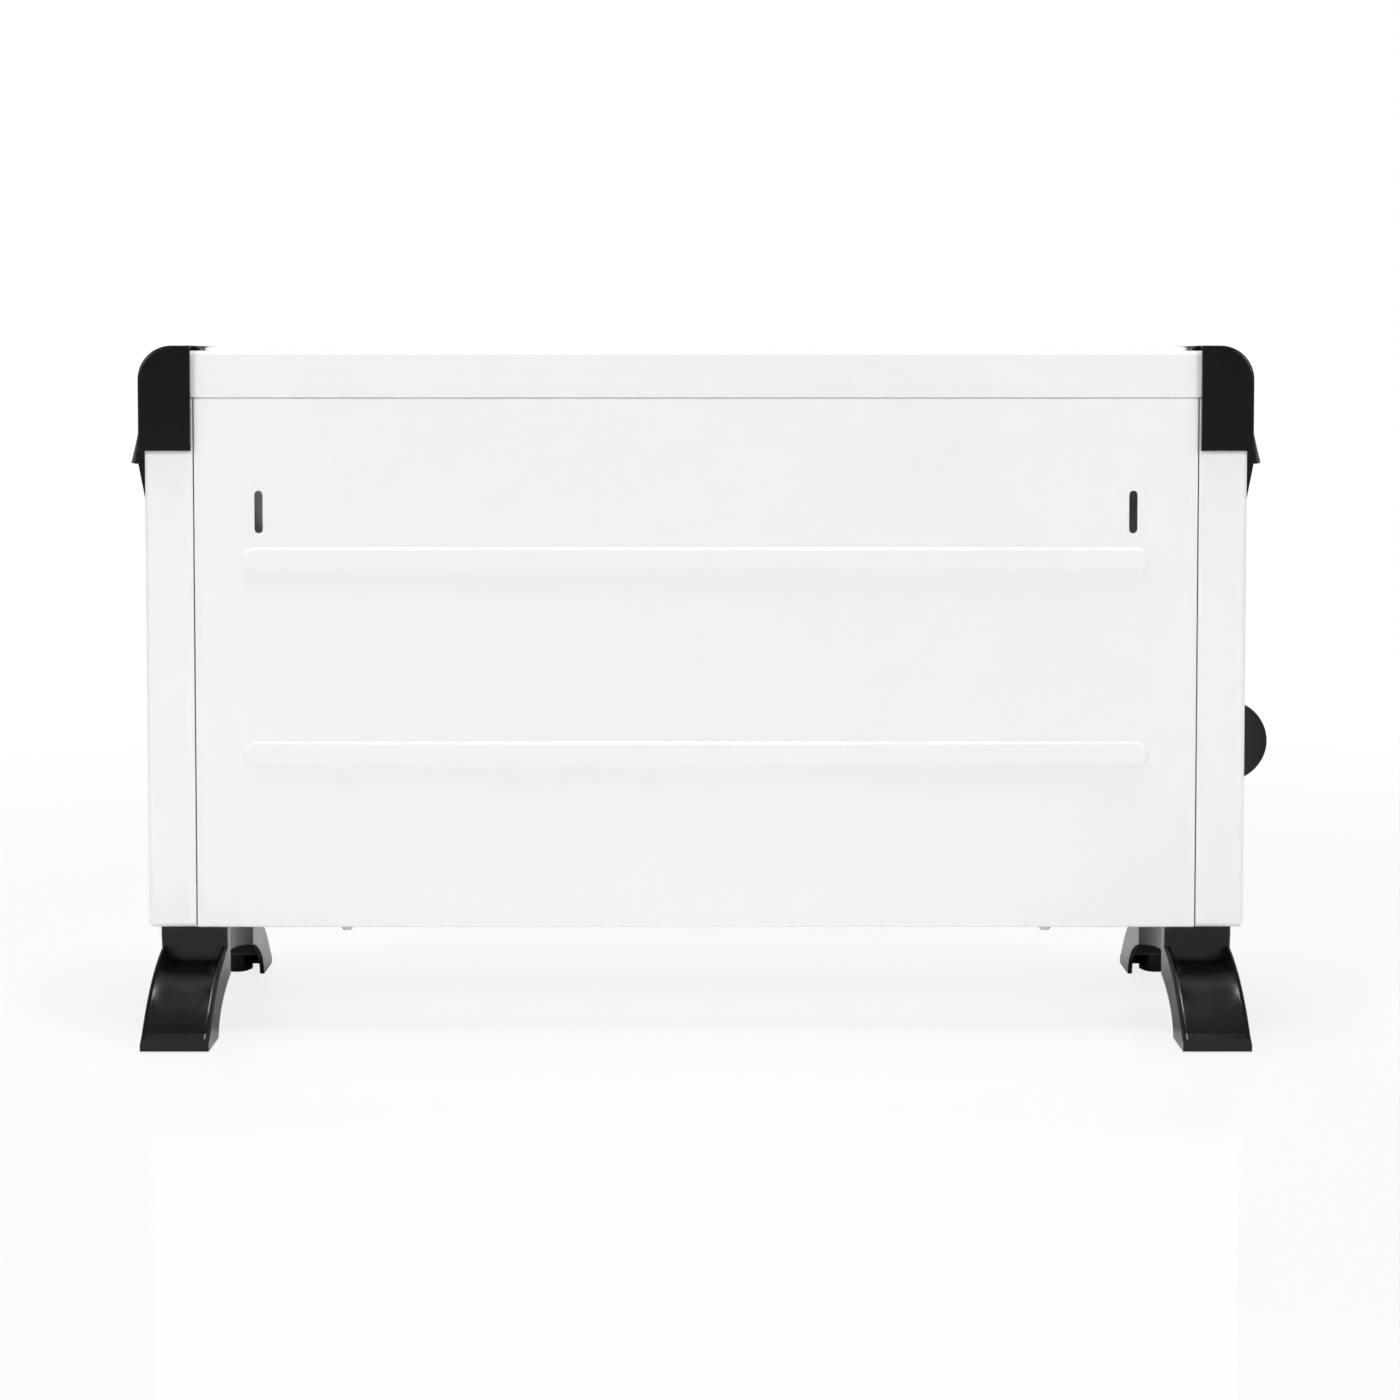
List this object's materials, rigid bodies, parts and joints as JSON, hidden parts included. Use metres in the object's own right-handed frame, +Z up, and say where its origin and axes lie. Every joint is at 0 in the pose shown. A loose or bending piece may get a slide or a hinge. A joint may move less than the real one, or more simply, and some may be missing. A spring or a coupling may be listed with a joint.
{
  "type": "convector heater",
  "caption": "Free-standing electric convector heater: white sheet steel box on black moulded feet, with corner grips, rocker switches and a rotary thermostat on one end.",
  "frame": {"origin": "on the floor under the middle of the casing", "axes": "+Z up, front towards -Y, controls on the -X end"},
  "size_m": [0.6203, 0.208, 0.3637],
  "materials": {
    "white_enamel": "satin powder coat",
    "black_plastic": "satin moulded",
    "pad_rubber": "matte",
    "mica": "matte",
    "ceramic_white": "matte",
    "resistance_wire": "oxidised",
    "shield_aluminium": "mill finish",
    "brass": "turned",
    "plated_steel": "zinc plated"
  },
  "bodies": {
    "casing": {"base_grille": "white_enamel", "bracket_screws": "plated_steel", "cable_gland": "black_plastic", "control_fascia": "black_plastic", "corner_cap_control": "black_plastic", "corner_cap_plain": "black_plastic", "element_bracket_control": "plated_steel", "element_bracket_plain": "plated_steel", "fascia_screws": "plated_steel", "foot_control": "black_plastic", "foot_pads": "pad_rubber", "foot_plain": "black_plastic", "foot_screws": "plated_steel", "front_panel": "white_enamel", "heat_shield": "shield_aluminium", "heating_wire_front": "resistance_wire", "heating_wire_rear": "resistance_wire", "mica_board_front": "mica", "mica_board_rear": "mica", "panel_screws": "plated_steel", "partition": "plated_steel", "rear_panel": "white_enamel", "side_panel_control": "white_enamel", "side_panel_plain": "white_enamel", "switch_housing_high": "black_plastic", "switch_housing_low": "black_plastic", "terminal_block": "ceramic_white", "thermal_cutout": "plated_steel", "thermostat_body": "ceramic_white", "thermostat_nut": "brass", "top_grille": "white_enamel"},
    "dial": {"thermostat_knob": "black_plastic", "thermostat_spindle": "brass"},
    "rocker_low": {"rocker_low": "black_plastic"},
    "rocker_high": {"rocker_high": "black_plastic"}
  },
  "joints": [
    {"name": "thermostat_turn", "type": "hinge", "parent": "casing", "child": "dial", "pos_m": [-0.2915, 0, 0.1475], "axis": [-1, 0, 0], "range_deg": [-135, 135]},
    {"name": "rocker_low_tilt", "type": "hinge", "parent": "casing", "child": "rocker_low", "pos_m": [-0.289, 0, 0.206], "axis": [0, 1, 0], "range_deg": [0, 20]},
    {"name": "rocker_high_tilt", "type": "hinge", "parent": "casing", "child": "rocker_high", "pos_m": [-0.289, 0, 0.236], "axis": [0, 1, 0], "range_deg": [0, 20]}
  ]
}
